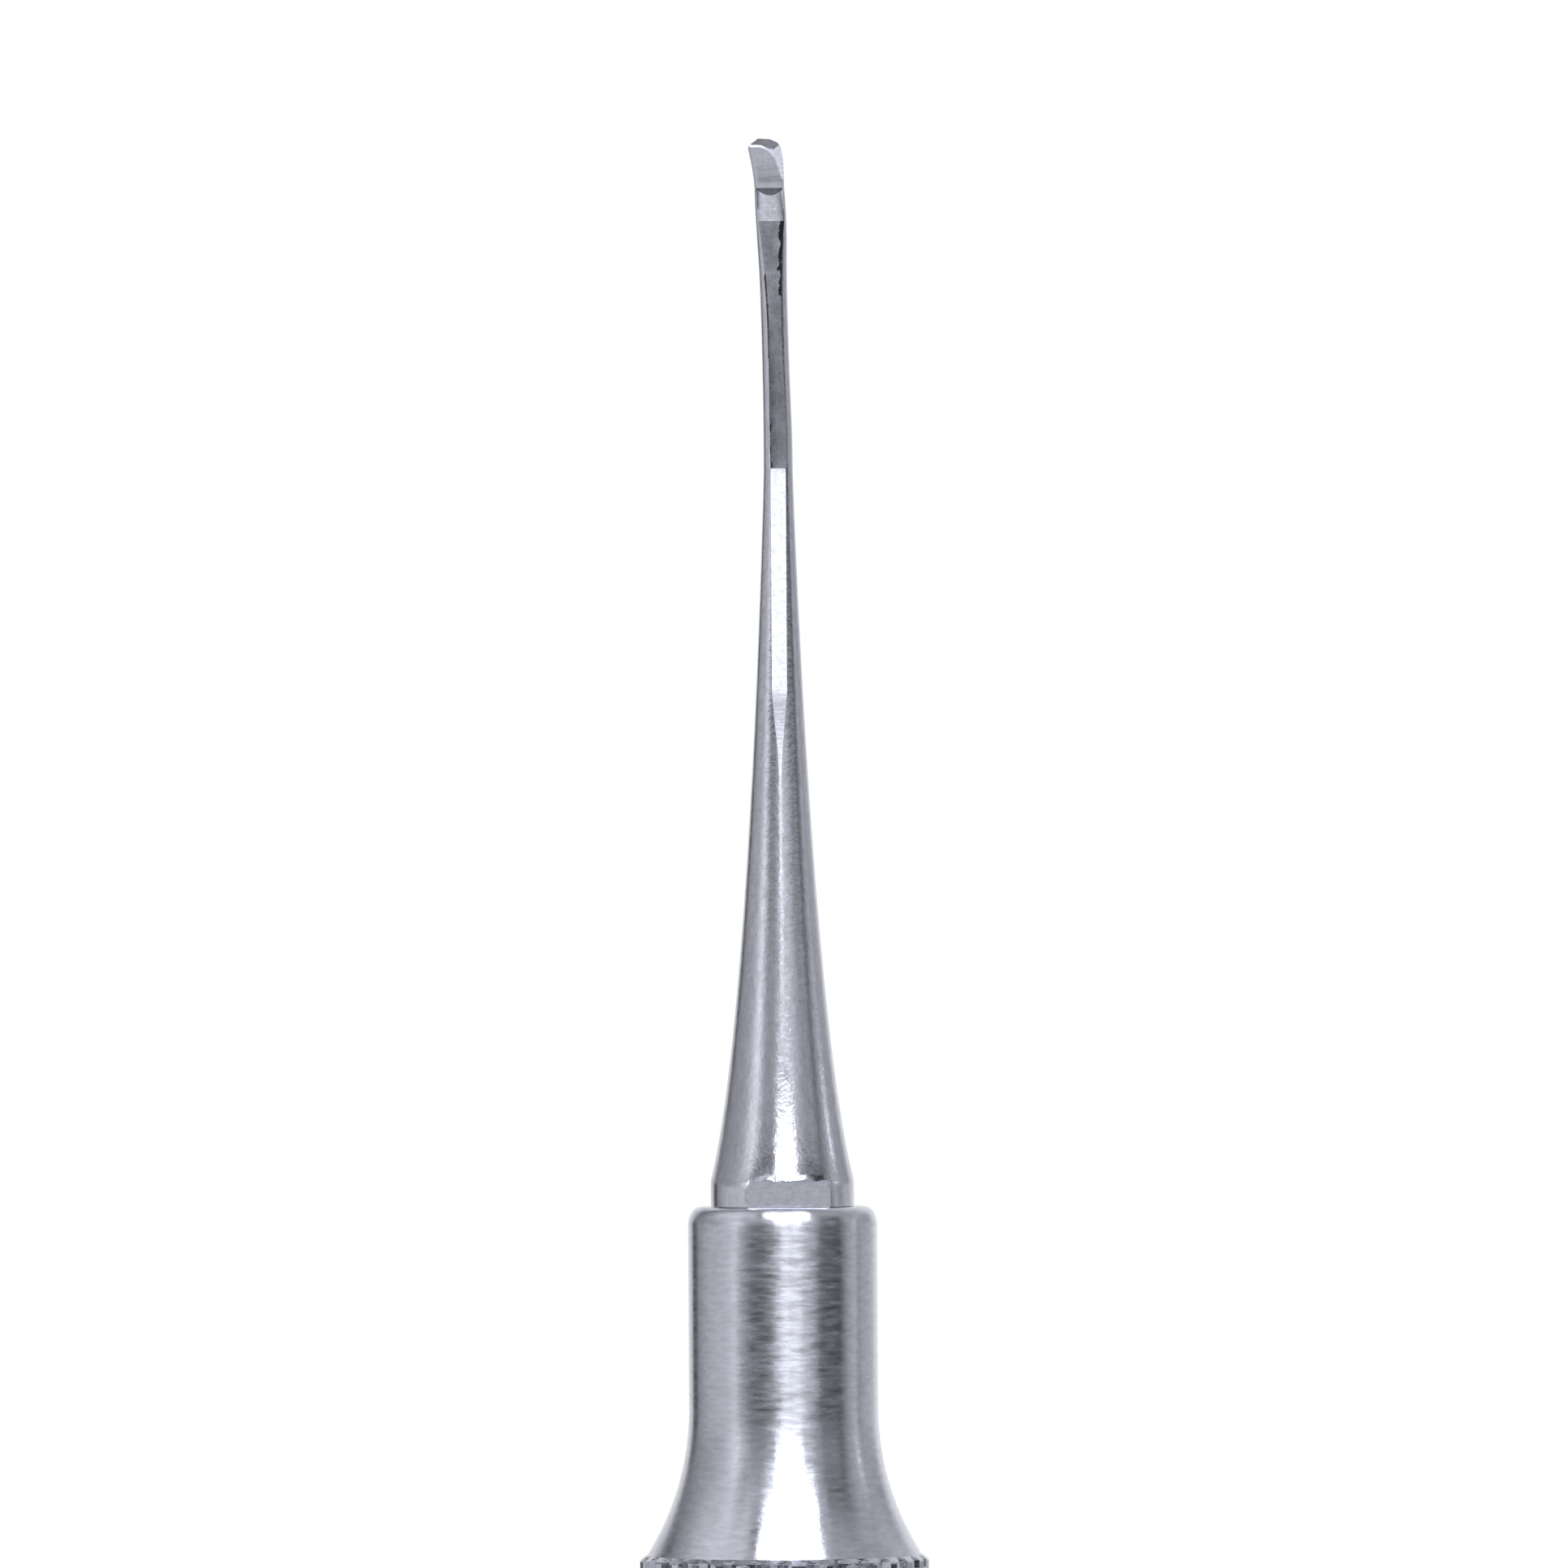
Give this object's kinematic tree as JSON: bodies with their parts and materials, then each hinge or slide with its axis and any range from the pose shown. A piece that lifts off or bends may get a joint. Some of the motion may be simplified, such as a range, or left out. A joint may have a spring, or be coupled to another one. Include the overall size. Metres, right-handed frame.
{
  "type": "hand scaler",
  "caption": "Double-ended dental hand scaler: hollow knurled handle, bell-shaped noses and screw-in chisel tips.",
  "frame": {"origin": "the middle of the handle, on its axis, halfway between the two cutting edges", "axes": "+Z along the handle towards the front tip, -Y the side that the blades face, +X to the right of that side"},
  "size_m": [0.0094, 0.0094, 0.175],
  "materials": {
    "grip_steel": "diamond knurled, satin",
    "nose_steel": "turned, fine satin",
    "tip_steel": "hand ground, satin to polished"
  },
  "bodies": {
    "handle": {"grip_tube": "grip_steel", "front_nose": "nose_steel", "rear_nose": "nose_steel"},
    "front_tip": {"front_tip": "tip_steel"},
    "rear_tip": {"rear_tip": "tip_steel"}
  },
  "joints": [
    {"name": "front_tip_unscrew", "type": "slide", "parent": "handle", "child": "front_tip", "axis": [0, 0, 1], "range_m": [0, 0.01]},
    {"name": "rear_tip_unscrew", "type": "slide", "parent": "handle", "child": "rear_tip", "axis": [0, 0, -1], "range_m": [0, 0.01]}
  ]
}
